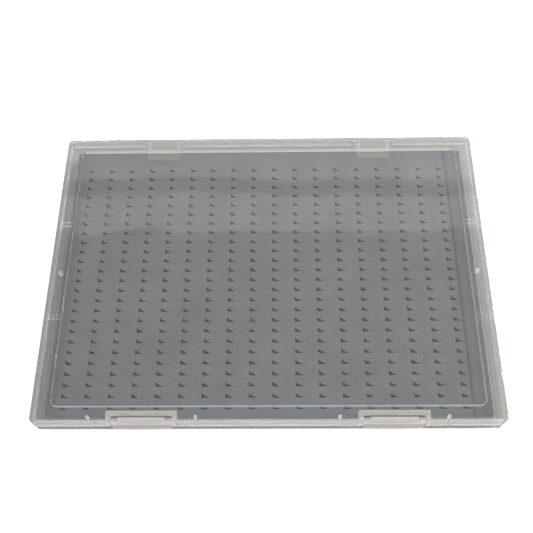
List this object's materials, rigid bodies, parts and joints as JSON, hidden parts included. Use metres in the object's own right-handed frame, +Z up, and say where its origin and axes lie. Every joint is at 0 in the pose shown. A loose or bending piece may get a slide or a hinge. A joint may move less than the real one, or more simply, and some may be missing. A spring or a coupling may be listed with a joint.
{
  "type": "slit foam hinged case",
  "caption": "Slim clear hinged case with a grey foam pad cut in rows of triangular notches and slits, a lift-up lid and flip-up front latches, for holding small hobby pieces.",
  "frame": {"origin": "middle of the tray's underside, on the surface that the case lies on", "axes": "+X along the case's length to the right, +Y towards the hinges at the back, +Z up through the lid"},
  "size_m": [0.317, 0.2341, 0.018],
  "materials": {
    "clear_plastic": "clear, slightly hazy moulding",
    "hinge_plastic": "frosted moulding",
    "pin_plastic": "clear, smooth",
    "grey_foam": "matt closed-cell foam",
    "adhesive_film": "matt film"
  },
  "bodies": {
    "tray": {"base_tray": "clear_plastic", "left_hinge_pin": "pin_plastic", "right_hinge_pin": "pin_plastic", "foam_slit_sheet": "grey_foam", "foam_backing_sheet": "grey_foam", "pad_adhesive_film": "adhesive_film"},
    "lid": {"lid": "clear_plastic", "left_hinge_leaf": "hinge_plastic", "right_hinge_leaf": "hinge_plastic", "left_latch_pin": "pin_plastic", "right_latch_pin": "pin_plastic"},
    "left_latch": {"left_latch": "clear_plastic"},
    "right_latch": {"right_latch": "clear_plastic"}
  },
  "joints": [
    {"name": "lid_hinge", "type": "hinge", "parent": "tray", "child": "lid", "pos_m": [0, 0.1167, 0.0092], "axis": [-1, 0, 0], "range_deg": [0, 180]},
    {"name": "left_latch_pivot", "type": "hinge", "parent": "lid", "child": "left_latch", "pos_m": [-0.084, -0.1126, 0.0163], "axis": [-1, 0, 0], "range_deg": [0, 90]},
    {"name": "right_latch_pivot", "type": "hinge", "parent": "lid", "child": "right_latch", "pos_m": [0.084, -0.1126, 0.0163], "axis": [-1, 0, 0], "range_deg": [0, 90]}
  ]
}
